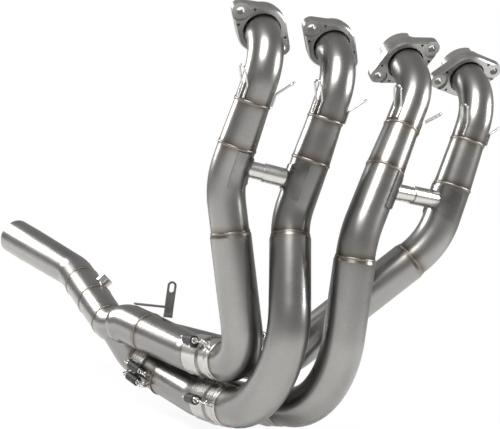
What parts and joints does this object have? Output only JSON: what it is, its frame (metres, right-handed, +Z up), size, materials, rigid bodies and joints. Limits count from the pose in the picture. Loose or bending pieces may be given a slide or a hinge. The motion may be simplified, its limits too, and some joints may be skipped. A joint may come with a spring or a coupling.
{
  "type": "motorcycle exhaust header",
  "caption": "Four into two into one exhaust header with loose port flanges, crossover pipes, sprung slip joints and a sensor boss.",
  "frame": {"origin": "centre of the first port on the outer face of its flange", "axes": "+X along the row of ports, +Y rearward along the motorcycle, +Z up"},
  "size_m": [0.4954, 0.6672, 0.4772],
  "materials": {
    "titanium": "satin brushed titanium with heat tint near the welds",
    "titanium_machined": "machined titanium",
    "spring_steel": "bright wire",
    "silicone": "matt black silicone"
  },
  "bodies": {
    "pipes": {"port_collar_1": "titanium_machined", "port_collar_2": "titanium_machined", "port_collar_3": "titanium_machined", "port_collar_4": "titanium_machined", "upper_bend_1": "titanium", "upper_bend_2": "titanium", "upper_bend_3": "titanium", "upper_bend_4": "titanium", "upper_cone_1": "titanium", "upper_cone_2": "titanium", "upper_cone_3": "titanium", "upper_cone_4": "titanium", "middle_bend_1": "titanium", "middle_bend_2": "titanium", "middle_bend_3": "titanium", "middle_bend_4": "titanium", "lower_bend_1": "titanium", "lower_bend_2": "titanium", "lower_bend_3": "titanium", "lower_bend_4": "titanium", "spigot_1": "titanium_machined", "spigot_2": "titanium_machined", "spigot_3": "titanium_machined", "spigot_4": "titanium_machined", "socket_1": "titanium_machined", "socket_2": "titanium_machined", "socket_3": "titanium_machined", "socket_4": "titanium_machined", "saddle_1": "titanium", "saddle_2": "titanium", "saddle_3": "titanium", "saddle_4": "titanium", "crossover_1": "titanium", "crossover_2": "titanium", "crossover_3": "titanium", "crossover_4": "titanium", "upper_merge": "titanium", "lower_merge": "titanium", "upper_link": "titanium", "lower_link": "titanium", "final_socket": "titanium_machined", "final_merge": "titanium", "outlet_lower": "titanium", "outlet_upper": "titanium", "outlet_tail": "titanium", "sensor_boss": "titanium_machined", "bracket": "titanium", "wire_hooks": "titanium", "joint_staples": "titanium", "joint_springs": "spring_steel", "spring_sleeves": "silicone"},
    "flange_1_body": {"flange_1": "titanium_machined"},
    "flange_2_body": {"flange_2": "titanium_machined"},
    "flange_3_body": {"flange_3": "titanium_machined"},
    "flange_4_body": {"flange_4": "titanium_machined"}
  },
  "joints": [
    {"name": "flange_1_turn", "type": "hinge", "parent": "pipes", "child": "flange_1_body", "pos_m": [0, 0, 0], "axis": [0, -0.766, -0.6428], "continuous": true},
    {"name": "flange_2_turn", "type": "hinge", "parent": "pipes", "child": "flange_2_body", "pos_m": [0.0825, 0, 0], "axis": [0, -0.766, -0.6428], "continuous": true},
    {"name": "flange_3_turn", "type": "hinge", "parent": "pipes", "child": "flange_3_body", "pos_m": [0.1755, 0, 0], "axis": [0, -0.766, -0.6428], "continuous": true},
    {"name": "flange_4_turn", "type": "hinge", "parent": "pipes", "child": "flange_4_body", "pos_m": [0.258, 0, 0], "axis": [0, -0.766, -0.6428], "continuous": true}
  ]
}
